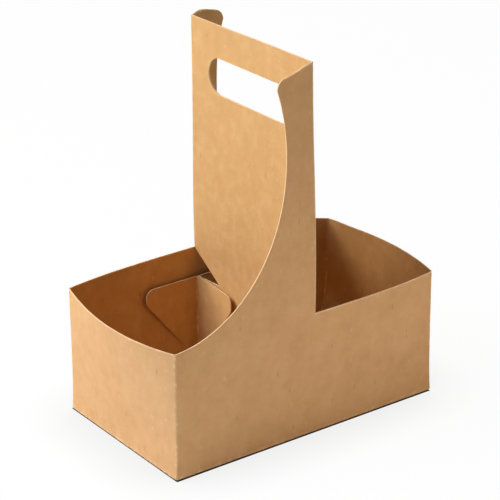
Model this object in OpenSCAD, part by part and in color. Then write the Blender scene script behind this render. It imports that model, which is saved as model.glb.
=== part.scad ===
// Carrier for two cups, folded and glued from one sheet of kraft board.
// A box with bowed walls stands on its base. From half of each long wall a wing
// sweeps up, and folds in at the middle to make the handle panel between the cups.
// X runs along the box, Y across it from front to back, Z up from the base.

/* [Box] */
// Length of the base
base_l = 210; // [170:1:260]
// Width of the base
base_w = 125; // [108:1:160]
// Height of the walls at the corners
wall_h = 89.5; // [80:0.5:110]
// Thickness of the board
board_t = 0.6; // [0.4:0.1:1]
// Width of the glue flaps that lie folded in on the base
glue_flap_w = 22; // [12:1:30]
// Clearance at the mitred ends of the glue flaps
mitre_gap = 1.5; // [0.5:0.1:4]

/* [Bow of the walls] */
// How far the end walls bow out at their rim
end_bow = 9.8; // [0:0.2:15]
// How far the long walls bow out at their middle
side_bow = 7; // [0:0.2:12]
// How far the handle folds still stand out at the top
top_bow = 3; // [0:0.2:8]
// Height at which the long walls bow most
bow_peak_z = 120; // [100:1:160]
// Rise of the low rims from the corners to the handle folds
rim_rise = 1.8; // [0:0.2:5]
// How far the back corner beside the wing leans in at its rim
corner_lean = 8.5; // [0:0.5:12]

/* [Handle panel] */
// Height of the handle above the floor
total_h = 259; // [230:1:310]
// Length of the hand slot
slot_w = 93; // [70:1:100]
// Height of the hand slot
slot_h = 25.5; // [20:0.5:32]
// Board left between the top of the handle and the hand slot
slot_drop = 23; // [15:1:35]
// Height of the low corner of the tongue, at the front wall
tongue_foot = 7; // [4:0.5:20]
// Clearance between the tongue and the front wall
tongue_gap = 1; // [0.5:0.1:3]
// Rounding of the low corner of the tongue
tongue_r = 4; // [2:0.5:8]

/* [Wings] */
// Width of a wing at its neck, its narrowest place
neck_w = 24.4; // [18:0.2:29]
// Drop from the top of the handle to the neck
neck_drop = 56; // [45:1:70]
// Reach of the elliptical sweep from the neck towards the corner of the box
sweep_reach = 91.3; // [75:0.1:110]
// Width of a wing at its top corner
wing_top_w = 31; // [30:0.5:36]
// Fall of a wing's top edge from the fold to its top corner
wing_top_fall = 5; // [2:0.5:8]
// Rounding of a wing's top corner
wing_corner_r = 6; // [3:0.5:8]
// How far a wing flares out at the top
wing_flare = 6; // [0:0.5:10]
// Distance from the fold over which the flare grows
flare_run = 20; // [10:1:24]

/* [Cup stops] */
// Height of the top edge of the cup stops
stop_h = 72; // [60:1:78]
// Reach of the half along the back wall from the upright fold
stop_wall_reach = 45.5; // [38:0.5:50]
// Reach of the half on the tongue from the upright fold
stop_mid_reach = 39.5; // [34:0.5:50]
// Height of a cup stop's rounded end
stop_end_h = 10.5; // [10:0.5:16]
// Rounding of the corners of that end
stop_r = 6; // [3:0.5:6]
// Height at which the two lower edges meet the fold
stop_foot = 5.5; // [3:0.5:12]
// Width of the stem that ties each half to the base
stop_stem_w = 3; // [2:0.5:6]
// Distance of the fold from the foot of the back wall
stop_stand = 1; // [0.8:0.1:4]
// Angle by which the wall half turns away from the back wall
stop_angle = 5; // [0:1:15]

/* [Hidden] */
kraft = [0.77, 0.59, 0.40];
half_l = base_l / 2;
half_w = base_w / 2;
rim_z = wall_h + rim_rise;
// The shell runs on past the top of the handle, and the die-cut profile trims it there
over = 2;
shell_top = total_h + over;
low_levels = 5;
high_levels = 11;
levels = concat(
    [for (i = [0 : low_levels]) rim_z * i / low_levels],
    [for (i = [1 : high_levels]) rim_z + (shell_top - rim_z) * i / high_levels]
);
// Places along a long wall as shares of its half length, closer at the flared wing
stations = [-1, -0.85, -0.7, -0.55, -0.42, -0.31, -0.24, -0.18, -0.12, -0.07, -0.03, 0.03, 0.3, 0.6, 0.85, 1];
end_steps = 10;
// The elliptical sweep starts at the corner of the box and ends at the rounded top corner of the wing.
// Below and above the neck it has half heights of its own.
neck_z = total_h - neck_drop;
sweep_x = -(neck_w + sweep_reach);
sweep_start = -acos((-half_l - sweep_x) / sweep_reach);
sweep_end = acos((-wing_top_w - sweep_x) / sweep_reach);
sweep_rise = (wall_h - neck_z) / sin(sweep_start);
upper_rise = (neck_drop - wing_top_fall - wing_corner_r) / sin(sweep_end);
sweep_steps = 40;
arc_steps = 6;
// The fold's outer face is flush with the far ply of the two-ply panel
fold_x = board_t;
// The panel's edge lies inside the thickness of the wing that folds into it
fold_inset = board_t / 4;
edge_steps = 24;
slot_z = total_h - slot_drop - slot_h / 2;
stop_fold_y = half_w - board_t - stop_stand;

// Outward bow of a long wall at its middle: a quarter sine to the peak, then an easy fall
function side_bow_at(z) =
    z < bow_peak_z ? side_bow * sin(90 * z / bow_peak_z)
    : top_bow + (side_bow - top_bow) * (1 + cos(180 * min(1, (z - bow_peak_z) / (total_h - bow_peak_z)))) / 2;

// Outward bow of an end wall at its middle
function end_bow_at(z) = end_bow * min(1, z / wall_h);

// Lean of the back corner beside the wing, easing off towards the rim
function lean_at(z) = corner_lean * sin(90 * min(1, z / wall_h));

// Outward flare of a wing, growing with the square of the height over the walls
function flare_at(z) = wing_flare * pow(max(0, (z - wall_h) / (total_h - wall_h)), 2);

// Distance of a long wall's outer face from the middle of the box, with the wing at negative x
function wall_y(x, z) =
    half_w
    + side_bow_at(z) * (1 - pow(abs(x) / half_l, 3))
    + flare_at(z) * sin(90 * min(1, max(0, -x) / flare_run));

// A long wall and the end wall beside it at height z, drawn in by inset.
// The long wall leans in by wing_lean at its wing corner, and the end wall stops short by end_lean.
function half_ring(z, inset, wing_lean, end_lean) =
    let (
        end_share = 1 - end_lean / half_w,
        corner_out = end_bow_at(z) * (1 - pow(1 - wing_lean / half_w, 2))
    )
    concat(
        [for (f = stations)
            let (wing_share = max(0, -f))
            [f * (half_l - inset) - corner_out * pow(wing_share, 3),
             inset + wing_lean * pow(wing_share, 2) - wall_y(f * half_l, z)]],
        [for (k = [1 : end_steps - 1])
            let (g = (1 + end_share) * k / end_steps - 1)
            [half_l - inset + end_bow_at(z) * (1 - g * g), g * (half_w - inset)]]
    );

// Front wall and right end, then the back wall and left end, which are built the same and turned round
function ring(z, inset) = concat(
    half_ring(z, inset, 0, lean_at(z)),
    [for (p = half_ring(z, inset, lean_at(z), 0)) -p]
);

// An arc's points about a centre
function arc(centre, r, from, to) =
    [for (i = [0 : arc_steps]) let (a = from + (to - from) * i / arc_steps) centre + r * [cos(a), sin(a)]];

// A corner at p rounded by r, between the directions of its neighbours
function round_corner(before, p, after, r) =
    let (
        u = (before - p) / norm(before - p),
        v = (after - p) / norm(after - p),
        half_angle = acos(u * v) / 2,
        centre = p + (u + v) / norm(u + v) * r / sin(half_angle),
        start = p + u * r / tan(half_angle) - centre,
        end = p + v * r / tan(half_angle) - centre
    )
    [for (i = [0 : arc_steps])
        let (q = start + (end - start) * i / arc_steps)
        centre + r * q / norm(q)];

// Solid lofted through the rings at all the levels above a floor, with each end a fan about its middle
module bowed_loft(inset, floor_z) {
    heights = concat([floor_z], [for (z = levels) if (z > floor_z) z]);
    rings = [for (z = heights) ring(z, inset)];
    n = len(rings[0]);
    top = len(rings) - 1;
    points = [for (j = [0 : top]) for (p = rings[j]) [p.x, p.y, heights[j]]];
    floor_mid = len(points);
    top_mid = floor_mid + 1;
    sides = [for (j = [0 : top - 1]) for (k = [0 : n - 1])
        let (a = j * n + k, b = j * n + (k + 1) % n)
        each [[a, a + n, b + n], [a, b + n, b]]];
    ends = [for (k = [0 : n - 1])
        let (next = (k + 1) % n)
        each [[floor_mid, k, next], [top_mid, top * n + next, top * n + k]]];
    polyhedron(concat(points, [[0, 0, floor_z], [0, 0, shell_top]]), concat(sides, ends));
}

// Die-cut side outline: low rim, fold, top edge and sweep of the wing
module side_profile() {
    reach = half_l + end_bow + over;
    top_run = wing_top_w - wing_corner_r;
    polygon(concat(
        [[-reach, -over], [reach, -over], [reach, wall_h], [half_l, wall_h], [fold_x, rim_z]],
        [for (i = [0 : arc_steps - 1])
            let (s = top_run * i / arc_steps)
            [i == 0 ? fold_x : -s, total_h - wing_top_fall * pow(s / top_run, 2)]],
        arc([-top_run, total_h - wing_top_fall - wing_corner_r], wing_corner_r, 90, 180),
        [for (i = [1 : sweep_steps])
            let (a = sweep_end + (sweep_start - sweep_end) * i / sweep_steps)
            [sweep_x + sweep_reach * cos(a), neck_z + (a > 0 ? upper_rise : sweep_rise) * sin(a)]],
        [[-reach, wall_h]]
    ));
}

// Base, walls and wings as one thin shell, open at the top
module sleeve() {
    depth = half_w + side_bow + wing_flare + over;
    intersection() {
        difference() {
            bowed_loft(0, 0);
            bowed_loft(board_t, board_t);
        }
        union() {
            for (turn = [0, 180])
                rotate([90, 0, turn]) linear_extrude(depth) side_profile();
        }
    }
}

// Outline of the handle panel in Y and Z: both folds, the top, and the slanted tongue below
module panel_outline() {
    fold_heights = [for (i = [0 : edge_steps]) rim_z + (total_h - rim_z) * i / edge_steps];
    folds = [for (z = fold_heights) [wall_y(0, z) - fold_inset, z]];
    inner = [for (i = [0 : arc_steps])
        let (z = rim_z + (tongue_foot - rim_z) * i / arc_steps)
        [board_t + tongue_gap - wall_y(0, z), z]];
    low = inner[arc_steps];
    polygon(concat(
        folds,
        [for (i = [edge_steps : -1 : 0]) [-folds[i].x, folds[i].y]],
        [for (i = [0 : arc_steps - 1]) inner[i]],
        round_corner(inner[arc_steps - 1], low, folds[0], tongue_r)
    ));
}

// Hand slot with full round ends
module hand_slot() {
    straight = slot_w - slot_h;
    translate([0, slot_z]) {
        square([straight, slot_h], center = true);
        for (side = [-1, 1])
            translate([side * straight / 2, 0]) circle(d = slot_h, $fn = 48);
    }
}

// Two plies of board on the middle plane, glued face to face
module handle_panel() {
    rotate([90, 0, 90]) difference() {
        linear_extrude(2 * board_t, center = true) panel_outline();
        linear_extrude(4 * board_t, center = true) hand_slot();
    }
}

// One half of a cup stop, from its fold at zero out to its rounded end
module stop_half(reach) {
    top_corner = [reach, stop_h];
    low_corner = [reach, stop_h - stop_end_h];
    foot = [0, stop_foot];
    slope = (low_corner.y - foot.y) / reach;
    polygon(concat(
        [[0, stop_h], [0, board_t / 2], [stop_stem_w, board_t / 2]],
        [[stop_stem_w, stop_foot + slope * stop_stem_w]],
        round_corner(foot, low_corner, top_corner, stop_r),
        round_corner(low_corner, top_corner, [0, stop_h], stop_r)
    ));
}

// Cup stop of the left cell: one half lies on the tongue, the other stands along the back wall
module cup_stop() {
    translate([-board_t, stop_fold_y, 0])
        rotate([90, 0, -90]) linear_extrude(board_t) stop_half(stop_mid_reach);
    translate([-board_t, stop_fold_y, 0])
        rotate([90, 0, 180 + stop_angle]) linear_extrude(board_t) stop_half(stop_wall_reach);
}

// Glue flap along a side of the given length, mitred at both ends
module glue_flap(length, offset_y) {
    run = length / 2 - mitre_gap;
    translate([0, offset_y, board_t]) linear_extrude(board_t)
        polygon([[-run, 0], [run, 0], [run - glue_flap_w, glue_flap_w], [glue_flap_w - run, glue_flap_w]]);
}

module glue_flaps() {
    // Each flap starts half a board inside its wall
    seat = board_t / 2;
    for (turn = [0, 180]) rotate([0, 0, turn]) glue_flap(base_l, seat - half_w);
    for (turn = [90, 270]) rotate([0, 0, turn]) glue_flap(base_w, seat - half_l);
}

module carrier() {
    color(kraft) union() {
        sleeve();
        glue_flaps();
        handle_panel();
        cup_stop();
        mirror([1, 0, 0]) cup_stop();
    }
}

carrier();
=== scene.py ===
import math
import bmesh
import bpy
import numpy as np
from mathutils import Matrix


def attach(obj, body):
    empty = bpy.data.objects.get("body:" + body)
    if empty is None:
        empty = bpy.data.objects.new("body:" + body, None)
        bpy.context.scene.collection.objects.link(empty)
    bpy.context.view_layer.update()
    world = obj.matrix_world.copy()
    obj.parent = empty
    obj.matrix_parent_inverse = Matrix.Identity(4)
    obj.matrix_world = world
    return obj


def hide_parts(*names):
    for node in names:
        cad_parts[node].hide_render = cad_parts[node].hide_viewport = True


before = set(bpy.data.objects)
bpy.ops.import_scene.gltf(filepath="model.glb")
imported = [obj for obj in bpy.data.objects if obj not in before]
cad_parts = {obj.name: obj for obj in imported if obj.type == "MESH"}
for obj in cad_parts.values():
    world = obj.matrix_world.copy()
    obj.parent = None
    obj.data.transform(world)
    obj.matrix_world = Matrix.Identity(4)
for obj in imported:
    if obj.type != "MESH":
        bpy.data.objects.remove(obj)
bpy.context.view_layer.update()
millimetre = 0.001
print("frame loaded")

fibreEdge = (0.6, 1.3)                            # soft edge of a fibre or speck, from and to, in its radii


# Shader maths
class Socket:
    def __init__(self, tree, output=None):
        self.tree = tree
        self.output = output

    # Any node: its type, its settings, then its inputs by name or number, and which output is wanted
    def node(self, kind, settings, inputs, output=0):
        made = self.tree.nodes.new(kind)
        for key, value in settings.items():
            setattr(made, key, value)
        for key, value in inputs.items():
            if isinstance(value, Socket):
                self.tree.links.new(value.output, made.inputs[key])
            else:
                made.inputs[key].default_value = value
        return Socket(self.tree, made.outputs[output] if len(made.outputs) else None)

    def also(self, name):                         # another output of the same node
        return Socket(self.tree, self.output.node.outputs[name])

    def math(self, operation, first, second):
        return self.node("ShaderNodeMath", {"operation": operation}, {0: first, 1: second})

    def __add__(self, other):
        return self.math("ADD", self, other)

    def __radd__(self, other):
        return self.math("ADD", other, self)

    def __sub__(self, other):
        return self.math("SUBTRACT", self, other)

    def __rsub__(self, other):
        return self.math("SUBTRACT", other, self)

    def __mul__(self, other):
        return self.math("MULTIPLY", self, other)

    def __rmul__(self, other):
        return self.math("MULTIPLY", other, self)

    def clamped(self):
        return self.node("ShaderNodeClamp", {}, {"Value": self})

    def attribute(self, name):
        return self.node("ShaderNodeAttribute", {"attribute_name": name}, {}, "Fac")

    # Colour that goes from this one to another by a share
    def toward(self, other, share):
        return self.node("ShaderNodeMix", {"data_type": "RGBA"}, {0: share, 6: self, 7: other}, 2)

    def grey(self):                               # the same value in all three channels
        return self.node("ShaderNodeCombineColor", {}, {0: self, 1: self, 2: self})

    def stretched(self, factors):
        return self.node("ShaderNodeVectorMath", {"operation": "MULTIPLY"}, {0: self, 1: factors})

    def noise(self, scale, detail):
        return self.node("ShaderNodeTexNoise", {}, {"Vector": self, "Scale": scale, "Detail": detail})

    # Rises from 0 to 1 between two values
    def ramp(self, low, high):
        return self.node("ShaderNodeMapRange", {"interpolation_type": "SMOOTHSTEP"},
                         {"Value": self, "From Min": low, "From Max": high})

    # Scattered fibres: 1 near the middle of some cells of a stretched pattern, with the fibre's radius in
    # cells and the share of cells left out
    def fibres(self, stretch, scale, radius, leftOut):
        where = self.stretched(stretch)
        cells = self.node("ShaderNodeTexVoronoi", {}, {"Vector": where, "Scale": scale}, "Distance")
        pick = self.node("ShaderNodeSeparateColor", {}, {"Color": cells.also("Color")})
        soft = 1.0 - cells.ramp(radius * fibreEdge[0], radius * fibreEdge[1])
        return soft * self.math("GREATER_THAN", pick, leftOut)


def linear(red, green, blue):                     # screen colour of 0 to 255 as a linear colour
    screen = np.array([red, green, blue]) / 255.0
    value = np.where(screen <= 0.04045, screen / 12.92, ((screen + 0.055) / 1.055) ** 2.4)
    return (*value.tolist(), 1.0)


def newMaterial(name):
    material = bpy.data.materials.new(name)
    material.use_nodes = True
    material.node_tree.nodes.clear()
    return material, Socket(material.node_tree)


# Fibres and specks give the stretch of their pattern, its scale, their radius and the share left out
kraft = {
    "colour": (214, 168, 117), "within": (209, 163, 105),     # outer faces, faces inside the carrier
    "dark": (178, 130, 82), "light": (240, 202, 156),         # the two ends of the mottling
    "cloudScale": 42.0, "blotchScale": 130.0, "grainScale": 700.0, "streakScale": (170.0, 170.0, 55.0),
    "cloud": 0.8, "blotch": 0.9, "grain": 0.45, "streak": 0.4,    # their weights in the mottling
    "mottle": 0.56, "detail": 3.0, "fineDetail": 2.0,
    "fleck": (246, 214, 166), "fleckShare": 0.19,             # short pale fibres
    "standing": ((1.0, 1.0, 0.45), 150.0, 0.12, 0.5), "lying": ((0.5, 0.5, 1.0), 135.0, 0.10, 0.75),
    "speck": (128, 84, 48), "speckShare": 0.21,               # dark specks
    "specks": ((1.0, 1.0, 0.32), 125.0, 0.09, 0.15),
    "cut": (245, 214, 170), "cutShare": 0.9,                  # bare board at cut edges and on worn folds, and painted highlight on rims
    "wearScale": 260.0, "wearFrom": 0.5, "wearTo": 0.68, "wearLeast": 0.15, "wearMore": 0.5,
    "cloudHeight": 0.0007, "blotchHeight": 0.000175, "grainHeight": 0.00005,
    "roughness": 0.86, "roughSpread": 0.1, "specular": 0.2,
}


# Uncoated board: mottled by clouds, blotches, streaks and grain, with pale fibres and dark specks, and paler
# at
#  its cut edges and on its lightly worn folds. The paler band along the rims and top edges is mostly a
#  painted highlight, with some real wear.
def kraftMaterial(s):
    material, tree = newMaterial("kraftBoard")
    place = tree.node("ShaderNodeTexCoord", {}, {}, "Object")
    cloud = place.noise(s["cloudScale"], s["detail"])
    blotch = place.noise(s["blotchScale"], s["detail"])
    grain = place.noise(s["grainScale"], s["fineDetail"])
    streak = place.stretched(s["streakScale"]).noise(1.0, s["detail"])
    broad = (cloud - 0.5) * s["cloud"] + (blotch - 0.5) * s["blotch"]
    fine = (streak - 0.5) * s["streak"] + (grain - 0.5) * s["grain"]
    mottle = (broad + fine) * s["mottle"]
    flecks = (place.fibres(*s["standing"]) + place.fibres(*s["lying"])).clamped()
    specks = place.fibres(*s["specks"])
    rubbed = place.noise(s["wearScale"], s["fineDetail"]).ramp(s["wearFrom"], s["wearTo"])
    wearAndSheenShare = tree.attribute("crease") * (s["wearLeast"] + rubbed * s["wearMore"])
    colour = tree.node("ShaderNodeMix", {"data_type": "RGBA"},
                       {0: tree.attribute("inside"), 6: linear(*s["colour"]), 7: linear(*s["within"])}, 2)
    colour = colour.toward(linear(*s["dark"]), (mottle * -1.0).clamped())
    colour = colour.toward(linear(*s["light"]), mottle.clamped())
    colour = colour.toward(linear(*s["fleck"]), flecks * s["fleckShare"])
    colour = colour.toward(linear(*s["speck"]), specks * s["speckShare"])
    # pale band: wear on folds, mostly painted highlight on rims and top edges
    colour = colour.toward(linear(*s["cut"]), wearAndSheenShare)
    colour = colour.toward(linear(*s["cut"]), tree.attribute("cutEdge") * s["cutShare"])
    height = cloud * s["cloudHeight"] + blotch * s["blotchHeight"] + grain * s["grainHeight"]
    bump = tree.node("ShaderNodeBump", {}, {"Height": height, "Strength": 1.0, "Distance": 1.0})
    rough = s["roughness"] + mottle * s["roughSpread"]
    surface = tree.node("ShaderNodeBsdfPrincipled", {},
                        {"Base Color": colour, "Roughness": rough, "Normal": bump,
                         "Specular IOR Level": s["specular"]})
    tree.node("ShaderNodeOutputMaterial", {}, {"Surface": surface})
    return material


kraftBoard = kraftMaterial(kraft)
print("material made")

# Points join within so many millimetres, and an edge is sharp from so many degrees
joining = {"weld": 0.008, "sharpAngle": 38.0}


# A piece of board: patches with an outer and an inner face, closed along their cut edges
class Board:
    def __init__(self):
        self.points = []
        self.faces = []
        self.cuts = []
        self.insides = []
        self.creases = []
        self.count = 0

    def quads(self, a, b, c, d, cut=0.0, inside=0.0):
        made = np.stack([a, b, c, d], -1).reshape(-1, 4)
        self.faces.append(made)
        self.cuts.append(np.full(len(made), cut))
        self.insides.append(np.full(len(made), inside))

    def row(self, points):                        # a loose row of points, for faces made one by one
        number = self.count + np.arange(len(points))
        self.points.append(points)
        self.creases.append(np.zeros(len(points)))
        self.count += len(points)
        return number

    # Patch of rows and columns, its outer face to the side of column direction times row direction. Each
    # side of the
    #  patch names the stretch of it that is a cut edge, and pale says how bare those edges are; below 1 it
    #  is painted shade on them.
    def patch(self, outer, inner, crease=0.0, left=None, right=None, bottom=None, top=None,
              closed=False, inside=0.0, pale=1.0):
        rows, columns = outer.shape[:2]
        number = self.count + np.arange(rows * columns).reshape(rows, columns)
        back = number + rows * columns
        self.points.append(outer.reshape(-1, 3))
        self.points.append(inner.reshape(-1, 3))
        wearAndSheenShare = np.broadcast_to(crease, (rows, columns)).reshape(-1)
        self.creases.append(wearAndSheenShare)
        self.creases.append(wearAndSheenShare)
        self.count += 2 * rows * columns
        if closed:
            number = np.concatenate([number, number[:, :1]], 1)
            back = np.concatenate([back, back[:, :1]], 1)
        self.quads(number[:-1, :-1], number[:-1, 1:], number[1:, 1:], number[1:, :-1], inside=inside)
        self.quads(back[:-1, :-1], back[1:, :-1], back[1:, 1:], back[:-1, 1:], inside=1.0)
        if left is not None:
            o, i = number[left, 0], back[left, 0]
            self.quads(o[:-1], o[1:], i[1:], i[:-1], pale)
        if right is not None:
            o, i = number[right, -1], back[right, -1]
            self.quads(o[:-1], i[:-1], i[1:], o[1:], pale)
        if bottom is not None:
            o, i = number[0, bottom], back[0, bottom]
            self.quads(o[:-1], i[:-1], i[1:], o[1:], pale)
        if top is not None:
            o, i = number[-1, top], back[-1, top]
            self.quads(o[:-1], o[1:], i[1:], i[:-1], pale)

    def build(self, name):
        mesh = bpy.data.meshes.new(name)
        mesh.from_pydata(np.concatenate(self.points) * millimetre, [], np.concatenate(self.faces))
        for label, domain, values in (("cutEdge", "FACE", self.cuts), ("inside", "FACE", self.insides),
                                      ("crease", "POINT", self.creases)):
            mesh.attributes.new(label, "FLOAT", domain).data.foreach_set("value", np.concatenate(values))
        welded = bmesh.new()
        welded.from_mesh(mesh)
        bmesh.ops.remove_doubles(welded, verts=welded.verts, dist=joining["weld"] * millimetre)
        welded.to_mesh(mesh)
        welded.free()
        mesh.shade_smooth()
        mesh.set_sharp_from_angle(angle=math.radians(joining["sharpAngle"]))
        mesh.materials.append(kraftBoard)
        piece = bpy.data.objects.new(name, mesh)
        bpy.context.scene.collection.objects.link(piece)
        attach(piece, "root")
        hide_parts("carrier")
        print(name, len(mesh.vertices), "points", len(mesh.polygons), "faces")


whole = slice(None)                               # a side that is a cut edge all along

# The box with its bowed walls, in millimetres
box = {
    "halfLength": 105.0, "halfWidth": 62.5, "board": 0.6, "fold": 1.0, "top": 259.0,
    "wallHeight": 89.5, "rim": 90.6, "lowCorner": 90.0, "wingCorner": 88.9,   # heights along the rim
    "endBow": 11.0, "endSkew": 0.18, "leanBow": 9.8,          # the left end's bow, the right end's
    "sideBow": 7.0, "topBow": 3.0, "peak": 120.0,             # the long walls' bow at its peak, at the top
    "lean": 8.5, "leanHeight": 45.0,                          # the back right corner's lean
    "cornerCut": 1.3,                                         # rounding of the corners
    "footInset": (4.0, 3.0, 2.0, 1.2, 0.6, 0.25, 0.07),       # the rounded fold between base and walls
    "footHeight": (0.0, 0.06, 0.22, 0.42, 0.64, 0.86, 1.1, 1.5),
    "wingColumns": 60, "lowColumns": 44, "endColumns": 40, "cornerColumns": 5,
    "wallRows": 34, "baseRows": 14,
    "crown": 0.07, "rimSheenFrom": 0.989,                         # the rim's rise, height share below its painted highlight band
    # pale band strengths: on folds it is wear, on the rims mostly painted highlight with some real wear
    "foldWear": 1.0, "sideRimSheen": 6.0, "endRimSheen": 2.0, "footWearRows": (3, 7),
}
halfL = box["halfLength"]
halfW = box["halfWidth"]
board = box["board"]
fold = box["fold"]

# Small departures of the folded board. The handle's back fold stands off the middle plane: most from the rim
# to mid height, fading to the front, to the base and along the wall. The foot spreads, the right end, the
# back right corner and the top of the back wing stand a little further out or higher, and the handle's top
# dips.
drift = {
    "shift": 2.0, "topShare": 0.2, "shiftRise": (0.0, 85.0), "shiftFall": (150.0, 262.0),
    "shiftY": (-50.0, 60.0), "shiftX": (0.0, 60.0),
    "footX": 1.2, "footY": 0.7, "footHeight": 18.0, "rightOut": 0.5, "rightX": (20.0, halfL),
    "cornerLift": 1.4, "cornerX": (86.0, halfL), "cornerY": (28.0, 55.0),
    "cornerRise": (30.0, 88.0), "cornerFall": (95.0, 140.0),
    "tipOut": 2.0, "tipLift": 0.7, "tipX": (4.0, 22.0), "tipY": (20.0, 60.0),
    "tipRise": (170.0, 210.0), "tipFall": (228.0, 252.0), "tipLoss": 0.5,
    "topDip": 0.6, "dipX": (3.0, 10.0), "dipY": (-25.0, 45.0), "dipRise": (238.0, 259.0),
}


def smooth(value, span):                          # an S curve from 0 to 1 over a span
    low, high = span
    share = np.clip((value - low) / (high - low), 0.0, 1.0)
    return share * share * (3 - 2 * share)


# Each departure is its size times S curves along the axes, and the foot's spread dies away with the height
def warped(points):
    x, y, z = np.moveaxis(points, -1, 0)
    d = drift
    height = smooth(z, d["shiftRise"]) * (1 - (1 - d["topShare"]) * smooth(z, d["shiftFall"]))
    shift = d["shift"] * height * smooth(y, d["shiftY"]) * (1 - smooth(np.abs(x), d["shiftX"]))
    foot = np.exp(-np.maximum(z, 0.0) / d["footHeight"])
    spreadX = foot * d["footX"] * x / halfL + d["rightOut"] * smooth(x, d["rightX"])
    spreadY = foot * d["footY"] * y / halfW
    cornerHeight = smooth(z, d["cornerRise"]) * (1 - smooth(z, d["cornerFall"]))
    corner = smooth(x, d["cornerX"]) * smooth(y, d["cornerY"]) * cornerHeight
    tipHeight = smooth(z, d["tipRise"]) * (1 - d["tipLoss"] * smooth(z, d["tipFall"]))
    tip = smooth(x, d["tipX"]) * smooth(y, d["tipY"]) * tipHeight
    dip = smooth(y, d["dipY"]) * smooth(z, d["dipRise"]) * (1 - smooth(np.abs(x), d["dipX"]))
    rise = d["cornerLift"] * corner + d["tipLift"] * tip - d["topDip"] * dip
    return np.stack([x + shift + spreadX + d["tipOut"] * tip, y + spreadY, z + rise], -1)


def same(points):
    return points


def turned(points):                               # half a turn about the upright axis
    return points * np.array([-1.0, -1.0, 1.0])


leastLength = 1e-12                               # keeps a normal of no length from dividing by zero


# Unit normals of a grid, from its column direction times its row direction
def gridNormals(grid, closed=False):
    if closed:
        wide = np.concatenate([grid[:, -1:], grid, grid[:, :1]], 1)
        across = np.gradient(wide, axis=1)[:, 1:-1]
    else:
        across = np.gradient(grid, axis=1)
    up = np.gradient(grid, axis=0)
    normal = np.cross(across, up)
    length = np.linalg.norm(normal, axis=-1, keepdims=True)
    return normal / np.maximum(length, leastLength)


# Outward bow of a long wall at its middle: a quarter sine to the peak, then an easy fall
def sideBow(z):
    rising = box["sideBow"] * np.sin(np.pi / 2 * np.minimum(z, box["peak"]) / box["peak"])
    share = np.clip((z - box["peak"]) / (box["top"] - box["peak"]), 0.0, 1.0)
    falling = box["topBow"] + (box["sideBow"] - box["topBow"]) * (1 + np.cos(np.pi * share)) / 2
    return np.where(z < box["peak"], rising, falling)


def heightShare(z):                               # share of the walls' height, 1 above them
    return np.clip(z / box["wallHeight"], 0.0, 1.0)


def cornerLean(z):                                # a quarter sine up to the height where the lean is full
    return box["lean"] * np.sin(np.pi / 2 * np.clip(z / box["leanHeight"], 0.0, 1.0))


# Distance of a long wall from the middle plane: half the width, and the bow, which fades to the corners with
# the cube of the length
def wallY(x, z):
    return halfW + sideBow(z) * (1 - np.abs(x / halfL) ** 3)


# Flare of a wing: a power of the height over the walls times a quarter sine away from the fold. The back one
# flares more.
flare = {
    "front": 6.8, "frontRun": 45.0, "frontPower": 2.0,
    "back": 10.8, "backRun": 20.0, "backPower": 1.1,
}


def wingFlare(x, z, isBack):
    over = np.maximum(0.0, (z - box["wallHeight"]) / (box["top"] - box["wallHeight"]))
    side = "back" if isBack else "front"
    away = np.sin(np.pi / 2 * np.clip(-x / flare[side + "Run"], 0.0, 1.0))
    return flare[side] * over ** flare[side + "Power"] * away


# Long wall with its wing at negative x. The back one leans in towards its wing corner with the square of the
# length, and moves out there with the cube of it to meet the bowed end.
def longWall(x, z, isBack):
    share = np.maximum(0.0, -x / halfL)
    lean = isBack * cornerLean(z)
    out = box["leanBow"] * heightShare(z) * (1 - (1 - lean / halfW) ** 2)
    y = lean * share ** 2 - wallY(x, z) - wingFlare(x, z, isBack)
    return np.stack(np.broadcast_arrays(x - out * share ** 3, y, z), -1)


# End wall at positive x, from -1 at the low corner to 1 at the wing corner: a parabola, which stops short of
# a leaning corner
def endWall(g, z, leans):
    short = 1 - leans * cornerLean(z) / halfW
    share = (1 + short) * (g + 1) / 2 - 1
    bow = box["leanBow"] if leans else box["endBow"] * (1 + box["endSkew"] * share)
    out = halfL + bow * heightShare(z) * (1 - share ** 2)
    return np.stack(np.broadcast_arrays(out, halfW * share, z), -1)


# Rounded corner: a quadratic curve from one point to another, pulled to the sharp corner
def bend(start, corner, end, share):
    s = share[:, None]
    a = start[..., None, :]
    b = corner[..., None, :]
    c = end[..., None, :]
    return (1 - s) ** 2 * a + 2 * s * (1 - s) * b + s ** 2 * c


# Die-cut edge of a wing: up to the neck an ellipse with its power a little changed, above the neck a plain
# ellipse, then the rounded top corner
wing = {
    "neckWidth": 22.5, "neckZ": 203.0, "reach": 93.2, "bulge": 0.515,
    "topWidth": 31.0, "topFall": 4.2, "cornerRadius": 7.0,
    "sweepRows": 70, "upperRows": 24, "arcRows": 10, "leastGap": 0.04, "foldColumns": 6,
    # the pale band on the top rows is mostly painted highlight along the top edge, with some real wear
    "sag": 0.2, "topSheen": 3.0, "topSheenRows": 4,
}
sweepCentre = -(wing["neckWidth"] + wing["reach"])
arcZ = box["top"] - wing["topFall"] - wing["cornerRadius"]
sweepShare = math.sqrt(1 - ((-halfL - sweepCentre) / wing["reach"]) ** (1 / wing["bulge"]))
sweepRise = (wing["neckZ"] - box["wingCorner"]) / sweepShare
upperShare = math.sqrt(1 - ((-wing["topWidth"] - sweepCentre) / wing["reach"]) ** 2)
upperRise = (arcZ - wing["neckZ"]) / upperShare


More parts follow.
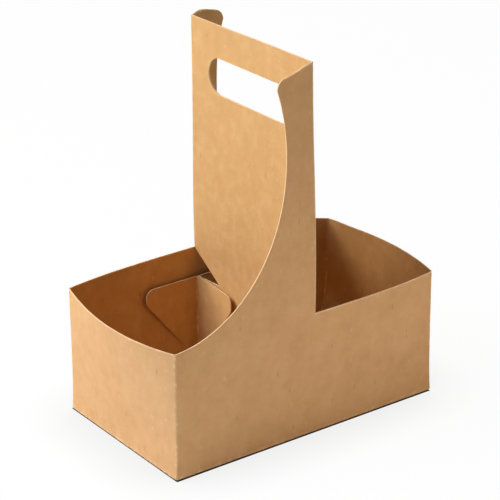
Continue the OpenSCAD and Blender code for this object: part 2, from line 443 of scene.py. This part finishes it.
def wingEdge(z):
    rise = np.where(z < wing["neckZ"], sweepRise, upperRise)
    share = np.clip((z - wing["neckZ"]) / rise, -1.0, 1.0)
    power = np.where(z < wing["neckZ"], wing["bulge"], 0.5)
    sweep = sweepCentre + wing["reach"] * (1 - share ** 2) ** power
    over = np.clip(z - arcZ, 0.0, wing["cornerRadius"])
    arc = wing["cornerRadius"] - wing["topWidth"] - np.sqrt(wing["cornerRadius"] ** 2 - over ** 2)
    return np.where(z < arcZ, sweep, arc)


wingStartX = -halfL + box["cornerCut"]
wingStartShare = math.sqrt(1 - ((wingStartX - sweepCentre) / wing["reach"]) ** (1 / wing["bulge"]))
wingStartZ = wing["neckZ"] - sweepRise * wingStartShare
wingTopZ = box["top"] - wing["topFall"]

# Hand slot with full round ends. In each ply the cut edge of the end beside the fold is less pale: painted
# shade.
slot = {"halfStraight": 33.75, "radius": 12.75, "middle": 223.25, "rows": 22, "pale": 0.1}


# Heights of the rows at the handle fold: those of the wing's edge, spread to the fold's height, and those of
# the slot, without rows that lie too close together
def foldRows():
    low = np.arcsin(wingStartShare)
    sweep = wing["neckZ"] - sweepRise * np.sin(np.linspace(low, 0.0, wing["sweepRows"]))
    high = np.arcsin(upperShare)
    upper = wing["neckZ"] + upperRise * np.sin(np.linspace(0.0, high, wing["upperRows"]))[1:]
    arc = arcZ + wing["cornerRadius"] * np.sin(np.linspace(0.0, np.pi / 2, wing["arcRows"]))[1:]
    edge = np.concatenate([sweep, upper, arc])
    share = (edge - wingStartZ) / (wingTopZ - wingStartZ)
    spread = box["rim"] + (box["top"] - box["rim"]) * share
    slotArc = slot["middle"] + slot["radius"] * np.sin(np.linspace(-np.pi / 2, np.pi / 2, slot["rows"]))
    rows = np.sort(np.concatenate([spread, slotArc]))
    kept = rows[np.concatenate([[True], np.diff(rows) > wing["leastGap"]])]
    nearLow = np.argmin(np.abs(kept - slotArc[0]))
    nearHigh = np.argmin(np.abs(kept - slotArc[-1]))
    kept[nearLow] = slotArc[0]
    kept[nearHigh] = slotArc[-1]
    kept[-1] = box["top"]
    return kept, nearLow, nearHigh


rowZ, slotLow, slotHigh = foldRows()
wallX = np.concatenate([np.linspace(wingStartX, -fold, box["wingColumns"]),
                        np.linspace(-fold, halfL - box["cornerCut"], box["lowColumns"] + 1)[1:]])
wingX = wallX[:box["wingColumns"]]


# Outer face of the box from the middle of the base out to its folds and up to the rim, its columns going
# round the box. The rim's height runs straight from the handle fold to both corners and along the ends.
def boxGrid():
    s = box
    endG = np.linspace(-1 + s["cornerCut"] / halfW, 1 - s["cornerCut"] / halfW, s["endColumns"])
    share = np.linspace(0.0, 1.0, s["cornerColumns"] + 2)[1:-1]
    low = np.full(s["cornerColumns"], s["lowCorner"])
    high = np.full(s["cornerColumns"], wingStartZ)
    wingRim = wingStartZ + (s["rim"] - wingStartZ) * (wallX - wingStartX) / (-fold - wingStartX)
    lowRim = s["rim"] + (s["lowCorner"] - s["rim"]) * np.maximum(0.0, wallX) / (halfL - s["cornerCut"])
    rimWall = np.where(wallX <= -fold, wingRim, lowRim)
    rimEnd = s["lowCorner"] + (wingStartZ - s["lowCorner"]) * (endG + 1) / 2
    rimHalf = np.concatenate([rimWall, low, rimEnd, high])
    columns = len(rimHalf)
    endStart = len(wallX) + len(share)

    def halfRow(z, wallIsBack, endLeans):
        a = z[:, :len(wallX)]
        b = z[:, endStart:endStart + len(endG)]
        wall = longWall(wallX[None, :], a, wallIsBack)
        end = endWall(endG[None, :], b, endLeans)
        sharp = longWall(np.array(halfL), a[:, -1], wallIsBack)
        nextSharp = turned(longWall(np.array(-halfL), b[:, -1], endLeans))
        nextStart = turned(longWall(np.array(wingStartX), b[:, -1], endLeans))
        first = bend(wall[:, -1], sharp, end[:, 0], share)
        second = bend(end[:, -1], nextSharp, nextStart, share)
        return np.concatenate([wall, first, end, second], 1)

    def ring(z):
        front = halfRow(z[:, :columns], False, True)
        back = halfRow(z[:, columns:], True, False)
        return np.concatenate([front, turned(back)], 1)

    rim = np.concatenate([rimHalf, rimHalf])[None, :]
    rowShare = np.append(np.linspace(0.0, 1.0, s["wallRows"])[:-1], (s["rimSheenFrom"], 1.0))[:, None]
    footZ = s["footHeight"][-1]
    wallRows = ring(footZ + (rim - footZ) * rowShare)
    foot = ring(np.full_like(rim, footZ))[0]
    inset = np.array(s["footInset"])[:, None, None] / np.array([halfL, halfW, np.inf])
    drop = footZ - np.array(s["footHeight"])[:-1, None, None]
    foldRing = foot * (1 - inset) - np.array([0.0, 0.0, 1.0]) * drop
    shrink = np.linspace(0.0, 1.0, s["baseRows"])[:-1, None, None]
    baseRing = foldRing[0] * np.concatenate([np.repeat(shrink, 2, -1), np.ones_like(shrink)], -1)
    grid = np.concatenate([baseRing, foldRing, wallRows])
    normal = gridNormals(grid, True)
    flat = len(baseRing) + 1
    normal[:flat] = np.array([0.0, 0.0, -1.0])
    crease = np.zeros(grid.shape[:2])
    firstWorn, pastWorn = s["footWearRows"]
    crease[flat + firstWorn:flat + pastWorn] = s["foldWear"]
    # along the rims the pale band is mostly painted highlight with some wear, along the corners it is fold
    # wear
    for start in (0, columns):
        crease[-1, start + len(wingX):start + len(wallX)] = s["sideRimSheen"]
        crease[-1, start + len(wallX):start + columns] = s["endRimSheen"]
        crease[flat:, start + len(wallX):start + endStart] = s["foldWear"]
        crease[flat:, start + columns - len(share):start + columns] = s["foldWear"]
    return grid, grid - normal * board, crease, columns


boxOuter, boxInner, boxCrease, halfColumns = boxGrid()
carrier = Board()
carrier.patch(warped(boxOuter), warped(boxInner), boxCrease, closed=True)


# The rims of the box are cut edges, but not where a wing runs on upward. They are slightly crowned between
# their ends.
def rimStrip(start):
    number = (len(boxOuter) - 1) * boxOuter.shape[1]
    columns = (start + np.arange(len(wingX) - 1, halfColumns + 1)) % boxOuter.shape[1]
    outer = warped(boxOuter[-1, columns])
    inner = warped(boxInner[-1, columns])
    ridge = (outer + inner) / 2 + np.array([0.0, 0.0, box["crown"]])
    ridge[[0, -1]] = outer[[0, -1]]
    o = number + columns
    i = o + boxOuter.shape[0] * boxOuter.shape[1]
    r = carrier.row(ridge)
    carrier.quads(o[:-1], o[1:], r[1:], r[:-1], cut=1.0)
    carrier.quads(r[:-1], r[1:], i[1:], i[:-1], cut=1.0)


rimStrip(0)
rimStrip(halfColumns)
print("box made")

# Handle ply on the middle plane, its glued face at x = -gap, and the tongue under it
ply = {"gap": 0.03, "edgeInset": 0.35, "sideColumns": 8, "middleColumns": 16}
tongue = {"foot": 7.0, "blunt": 2.0, "gap": 1.0, "rows": 24, "rowPower": 1.3}


# Wing and handle fold: rows from the rim to the top, columns from the die-cut edge to the fold and round it.
# The rows are straight low down and slightly curved at the top.
def wingGrid(isBack, rim):
    share = (rowZ - box["rim"]) / (box["top"] - box["rim"])
    edgeZ = wingStartZ + (wingTopZ - wingStartZ) * share
    edgeX = wingEdge(edgeZ)
    along = (wingX - wingX[0]) / (wingX[-1] - wingX[0])
    x = edgeX[:, None] + (-fold - edgeX[:, None]) * along[None, :]
    sag = 1 + wing["sag"] * share[:, None]
    z = rowZ[:, None] - (rowZ - edgeZ)[:, None] * (1 - along[None, :]) ** sag
    wall = longWall(x, z, isBack)
    turn = np.linspace(0.0, 1.0, wing["foldColumns"] + 1)[1:]
    corner = np.stack([np.full_like(rowZ, -ply["gap"]), -wallY(0.0, rowZ), rowZ], -1)
    end = corner + np.array([0.0, fold, 0.0])
    grid = np.concatenate([wall, bend(wall[:, -1], corner, end, turn)], 1)
    normal = gridNormals(grid)
    normal[:, -1] = np.array([1.0, 0.0, 0.0])
    crease = np.zeros(grid.shape[:2])
    crease[:, len(wingX):] = box["foldWear"]
    # painted highlight along the top edge, with some wear
    crease[-wing["topSheenRows"]:] = wing["topSheen"]
    inner = grid - normal * board
    inner[0, :len(wingX)] = rim                   # meets the inner face of the box
    return grid, inner, crease


# Upright rows of a ply: points on the middle plane, and the same a board's thickness behind it
def plyFaces(y, z):
    outer = np.stack([np.full_like(y, -ply["gap"]), y, np.broadcast_to(z[:, None], y.shape)], -1)
    return outer, outer - np.array([board, 0.0, 0.0])


def between(start, end, count):                   # columns from one edge to another, row by row
    share = np.linspace(0.0, 1.0, count)
    return start[:, None] + (end - start)[:, None] * share[None, :]


def tongueFront(z):                               # a gap inside the front wall
    return board + tongue["gap"] - wallY(0.0, z)


def tongueBack(z):                                # straight from the back fold at the rim to the low corner
    high = wallY(0.0, box["rim"])
    low = tongueFront(np.array(tongue["foot"]))
    return low + (high - low) * (z - tongue["foot"]) / (box["rim"] - tongue["foot"])


plyLeft = fold - wallY(0.0, rowZ)
plyRight = wallY(0.0, rowZ) - ply["edgeInset"]
straight = np.full_like(rowZ, slot["halfStraight"])
plyY = np.concatenate([between(plyLeft, -straight, ply["sideColumns"]),
                       between(-straight, straight, ply["middleColumns"])[:, 1:-1],
                       between(straight, plyRight, ply["sideColumns"])], 1)


def addFaces(faces, flip, **sides):
    outer, inner = faces
    carrier.patch(warped(flip(outer)), warped(flip(inner)), **sides)


def addWing(isBack, flip):
    first = halfColumns if isBack else 0
    rim = flip(boxInner[-1, first:first + len(wingX)])
    outer, inner, crease = wingGrid(isBack, rim)
    underFold = slice(len(wingX) - 1, None)
    addFaces((outer, inner), flip, crease=crease, left=whole, top=whole, bottom=underFold)


# Handle ply round the slot: a patch below it, one above it, and one beside each of its round ends
def addPly(flip):
    columns = ply["sideColumns"]
    slotSpan = slice(columns - 1, columns + ply["middleColumns"] - 1)
    low = slice(0, slotLow + 1)
    high = slice(slotHigh, None)
    beside = slice(slotLow, slotHigh + 1)
    z = rowZ[beside]
    reach = np.sqrt(np.maximum(0.0, slot["radius"] ** 2 - (z - slot["middle"]) ** 2)) + slot["halfStraight"]
    addFaces(plyFaces(plyY[low], rowZ[low]), flip, right=whole, top=slotSpan)
    addFaces(plyFaces(plyY[high], rowZ[high]), flip, right=whole, bottom=slotSpan, top=whole)
    # the slot's end here gets painted shade on its cut edge
    addFaces(plyFaces(between(plyLeft[beside], -reach, columns), z), flip, right=whole, pale=slot["pale"])
    addFaces(plyFaces(between(reach, plyRight[beside], columns), z), flip, left=whole, right=whole)


# The tongue under the rim, which both plies share, its rows closer together near the rim
def addTongue(isBack, flip):
    drop = box["rim"] - tongue["foot"] - tongue["blunt"]
    z = box["rim"] - drop * np.linspace(1.0, 0.0, tongue["rows"]) ** tongue["rowPower"]
    share = (plyY[0] - plyY[0, 0]) / (plyY[0, -1] - plyY[0, 0])
    ends = (-tongueBack(z), -tongueFront(z)) if isBack else (tongueFront(z), tongueBack(z))
    y = ends[0][:, None] + (ends[1] - ends[0])[:, None] * share[None, :]
    y[-1] = plyY[0]                               # meets the ply above
    addFaces(plyFaces(y, z), flip, left=whole, right=whole, bottom=whole)


for isBack, flip in ((False, same), (True, turned)):
    addWing(isBack, flip)
    addPly(flip)
    addTongue(isBack, flip)
print("wings and handle panel made")

# Cup stop: two halves folded upright, their half width a straight slope, two arcs and an upright end
stop = {
    "height": 70.6, "wallReach": 42.8, "middleReach": 44.3, "endHeight": 10.5, "radius": 6.0,
    "foot": 5.5, "stem": 3.0, "foldX": -0.8, "foldY": 63.2, "angle": 0.8, "bend": 0.9,
    "standOff": 3.2, "farStandOff": 4.0, "offPower": 1.5,     # how far the middle half stands off the panel
    "columns": 26, "foldColumns": 5, "slopeRows": 30, "endRows": 14, "arcRows": 12, "endRun": 9.0,
    "thickness": 0.95,                                        # share of the board's thickness
}


def stopWidth(z, reach):
    s = stop
    slope = (s["height"] - s["endHeight"] - s["foot"]) / reach
    straightWidth = np.maximum(s["stem"], (z - s["foot"]) / slope)
    half = (np.pi / 2 + np.arctan(slope)) / 2     # half the angle inside the low corner
    tangent = s["radius"] / np.tan(half)
    lowZ = s["height"] - s["endHeight"] + tangent
    highZ = s["height"] - s["radius"]
    core = reach - s["radius"]
    low = core + np.sqrt(np.maximum(0.0, s["radius"] ** 2 - np.minimum(0.0, z - lowZ) ** 2))
    high = core + np.sqrt(np.maximum(0.0, s["radius"] ** 2 - np.maximum(0.0, z - highZ) ** 2))
    arcStart = s["height"] - s["endHeight"] - tangent * np.sin(np.arctan(slope))
    return np.where(z < arcStart, straightWidth, np.minimum(low, high))


# Both halves run from the rounded fold to their free edge. The middle half stands off the panel with a power
# of its run.
def stopGrid(standOff):
    s = stop
    roundZ = s["height"] - s["radius"]
    endZ = roundZ - s["endRun"]
    z = np.unique(np.concatenate([np.linspace(board, endZ, s["slopeRows"]),
                                  np.linspace(endZ, roundZ, s["endRows"]),
                                  roundZ + s["radius"] * np.sin(np.linspace(0.0, np.pi / 2, s["arcRows"]))]))
    share = np.linspace(0.0, 1.0, s["columns"])
    zRows = np.broadcast_to(z[:, None], (len(z), s["columns"]))
    run = s["bend"] + (stopWidth(z, s["wallReach"])[:, None] - s["bend"]) * share[None, :]
    turn = math.radians(s["angle"])
    wallHalf = np.stack([s["foldX"] - run * math.cos(turn), s["foldY"] - run * math.sin(turn), zRows], -1)
    wallHalf = wallHalf[:, ::-1]
    run = s["bend"] + (stopWidth(z, s["middleReach"])[:, None] - s["bend"]) * share[None, :]
    off = standOff * (run / s["middleReach"]) ** s["offPower"]
    middleHalf = np.stack([s["foldX"] - off, s["foldY"] - run, zRows], -1)
    corner = np.stack([np.full_like(z, s["foldX"]), np.full_like(z, s["foldY"]), z], -1)
    foldShare = np.linspace(0.0, 1.0, s["foldColumns"] + 2)[1:-1]
    rounded = bend(wallHalf[:, -1], corner, middleHalf[:, 0], foldShare)
    grid = np.concatenate([wallHalf, rounded, middleHalf], 1)
    crease = np.zeros(grid.shape[:2])
    crease[:, s["columns"]:-s["columns"]] = box["foldWear"]
    normal = gridNormals(grid)
    normal[..., 2] = 0.0
    return grid, grid - normal * board * s["thickness"], crease


def addLoosePlate(outer, inner, crease=0.0, inside=0.0):      # a plate that is cut on all four sides
    carrier.patch(outer, inner, crease, left=whole, right=whole, bottom=whole, top=whole, inside=inside)


def addStops():
    addLoosePlate(*stopGrid(stop["standOff"]), inside=1.0)
    outer, inner, crease = stopGrid(stop["farStandOff"])
    mirror = np.array([-1.0, 1.0, 1.0])           # the columns go the other way to keep the faces outward
    addLoosePlate(outer[:, ::-1] * mirror, inner[:, ::-1] * mirror, crease[:, ::-1], inside=1.0)


addStops()
print("cup stops made")

# Glue flaps folded in on the base, mitred at both ends
flap = {"width": 22.0, "mitre": 1.5, "lift": 0.02, "columns": 16}


# Flat plate from the wall's foot inward, shorter by its width at both ends of its inner edge
def addFlap(length, offset, quarterTurns):
    run = length / 2 - flap["mitre"]
    share = np.linspace(-1.0, 1.0, flap["columns"])
    rows = np.stack([share * run, share * (run - flap["width"])])
    y = np.broadcast_to(np.array([[0.0], [flap["width"]]]) - offset, rows.shape)
    outer = np.stack([rows, y, np.full_like(rows, 2 * board)], -1)
    inner = outer - np.array([0.0, 0.0, board - flap["lift"]])
    turn = np.array(Matrix.Rotation(quarterTurns * math.pi / 2, 3, "Z"))
    addLoosePlate(outer @ turn.T, inner @ turn.T)


for quarter in range(4):
    along, across = (halfW, halfL) if quarter % 2 else (halfL, halfW)
    addFlap(2 * along, across - 2 * board, quarter)
print("glue flaps made")
carrier.build("foldedBoard")

# Floor and background, in metres. The half sizes of the painted contact shadow under the base are in
# millimetres.
stage = {
    "floorReach": 6.0, "floorColour": 0.9, "floorShare": 0.955,       # its paint, its share of plain white
    "paintedShade": 0.22, "paintedShadeReach": 0.045, "paintedShadeSamples": 16,     # painted contact shade close to the carrier
    "shadowPaint": 0.05, "shadowPaintX": 106.0, "shadowPaintY": 63.5,                     # painted contact shadow under the base and 1 mm past its edges
    "ambient": 0.033,                                                 # weak light from all round
}


# 1 for what the camera sees straight on, in a gloss or through glass, and 0 for light on the object
def seenDirectly(tree):
    path = tree.node("ShaderNodeLightPath", {}, {}, "Is Camera Ray")
    return (path + path.also("Is Glossy Ray") + path.also("Is Transmission Ray")).clamped()


# White floor that keeps the shadow: matte paint mixed with plain white, with painted contact shade close to
# the
#  carrier and a dark painted contact shadow under the base
def addFloor():
    reach = stage["floorReach"]
    corners = [(-reach, -reach, 0.0), (reach, -reach, 0.0), (reach, reach, 0.0), (-reach, reach, 0.0)]
    mesh = bpy.data.meshes.new("floor")
    mesh.from_pydata(corners, [], [(0, 1, 2, 3)])
    material, tree = newMaterial("floorWhite")
    nearness = tree.node("ShaderNodeAmbientOcclusion", {"samples": stage["paintedShadeSamples"]},
                         {"Distance": stage["paintedShadeReach"]}, "AO")
    paintedShadeGrey = 1.0 - (1.0 - nearness) * stage["paintedShade"]
    bright = tree.node("ShaderNodeEmission", {}, {"Color": paintedShadeGrey.grey(), "Strength": 1.0})
    place = tree.node("ShaderNodeTexCoord", {}, {}, "Object")
    far = place.stretched((1 / (stage["shadowPaintX"] * millimetre), 1 / (stage["shadowPaintY"] * millimetre), 0.0))
    away = tree.node("ShaderNodeVectorMath", {"operation": "ABSOLUTE"}, {0: far})
    sides = tree.node("ShaderNodeSeparateXYZ", {}, {0: away})
    outside = tree.math("GREATER_THAN", tree.math("MAXIMUM", sides, sides.also("Y")), 1.0)
    paintAndShadow = stage["shadowPaint"] + outside * (stage["floorColour"] - stage["shadowPaint"])
    matte = tree.node("ShaderNodeBsdfPrincipled", {},
                      {"Base Color": paintAndShadow.grey(), "Roughness": 1.0, "Specular IOR Level": 0.0})
    share = seenDirectly(tree) * stage["floorShare"] * outside
    mixed = tree.node("ShaderNodeMixShader", {}, {0: share, 1: matte, 2: bright})
    tree.node("ShaderNodeOutputMaterial", {}, {"Surface": mixed})
    mesh.materials.append(material)
    floor = bpy.data.objects.new("floor", mesh)
    bpy.context.scene.collection.objects.link(floor)


def addWorld():
    world = bpy.data.worlds.new("studio")
    world.use_nodes = True
    world.node_tree.nodes.clear()
    tree = Socket(world.node_tree)
    white = (1.0, 1.0, 1.0, 1.0)
    dim = tree.node("ShaderNodeBackground", {}, {"Color": white, "Strength": stage["ambient"]})
    bright = tree.node("ShaderNodeBackground", {}, {"Color": white, "Strength": 1.0})
    mixed = tree.node("ShaderNodeMixShader", {}, {0: seenDirectly(tree), 1: dim, 2: bright})
    tree.node("ShaderNodeOutputWorld", {}, {"Surface": mixed})
    bpy.context.scene.world = world


# Where a lamp or the camera stands. It faces its aim from a distance in metres. Its heading turns from the
# back of the carrier to its right end, its tilt goes up, and its roll is about its own axis, in degrees.
def facing(s):
    turn = Matrix.Rotation(math.radians(-s["heading"]), 4, "Z")
    lift = Matrix.Rotation(math.radians(90.0 + s["tilt"]), 4, "X")
    roll = Matrix.Rotation(math.radians(s["roll"]), 4, "Z")
    away = Matrix.Translation((0.0, 0.0, s["distance"]))
    return Matrix.Translation(s["aim"]) @ turn @ lift @ roll @ away


# Soft area lights: the key and rear lamps from the left, one from above and a low weak one in front
lights = {
    "key": {"heading": 105.0, "tilt": -39.0, "roll": 0.0, "distance": 2.0, "aim": (0.0, 0.0, 0.1),
            "wide": 1.1, "tall": 1.2, "power": 29.6, "tint": (0.912, 1.0, 1.12)},
    "rear": {"heading": 145.0, "tilt": -40.0, "roll": 0.0, "distance": 2.0, "aim": (0.0, 0.0, 0.1),
             "wide": 0.7, "tall": 0.7, "power": 20.0, "tint": (1.15, 1.0, 0.88)},
    "top": {"heading": 240.0, "tilt": -76.0, "roll": 0.0, "distance": 2.0, "aim": (0.0, 0.0, 0.1),
            "wide": 0.7, "tall": 0.7, "power": 10.0, "tint": (1.0, 1.0, 1.0)},
    "fill": {"heading": -19.0, "tilt": -4.0, "roll": 0.0, "distance": 0.42, "aim": (0.0, 0.0, 0.05),
             "wide": 0.6, "tall": 0.12, "power": 0.52, "tint": (1.08, 0.94, 0.80)},
}


def addLight(name, s):
    data = bpy.data.lights.new(name, "AREA")
    data.shape = "RECTANGLE"
    data.size = s["wide"]
    data.size_y = s["tall"]
    data.energy = s["power"]
    data.color = s["tint"]
    light = bpy.data.objects.new(name, data)
    light.matrix_world = facing(s)
    light.visible_camera = False
    bpy.context.scene.collection.objects.link(light)


addFloor()
addWorld()
for name, settings in lights.items():
    addLight(name, settings)
print("stage made")

# Camera solved from the photo, its lens in millimetres
view = {
    "heading": 36.0708, "tilt": -23.092, "roll": -0.4714, "distance": 1.3358, "aim": (0.0, 0.00136, 0.1111),
    "lens": 144.357, "sensor": 36.0, "near": 0.05, "far": 50.0,
}


def addCamera(s):
    data = bpy.data.cameras.new("camera")
    data.sensor_width = s["sensor"]
    data.lens = s["lens"]
    data.clip_start = s["near"]
    data.clip_end = s["far"]
    camera = bpy.data.objects.new("camera", data)
    camera.matrix_world = facing(s)
    bpy.context.scene.collection.objects.link(camera)
    bpy.context.scene.camera = camera


addCamera(view)
bpy.context.scene.view_settings.view_transform = "Standard"
print("camera placed")

bpy.context.view_layer.update()
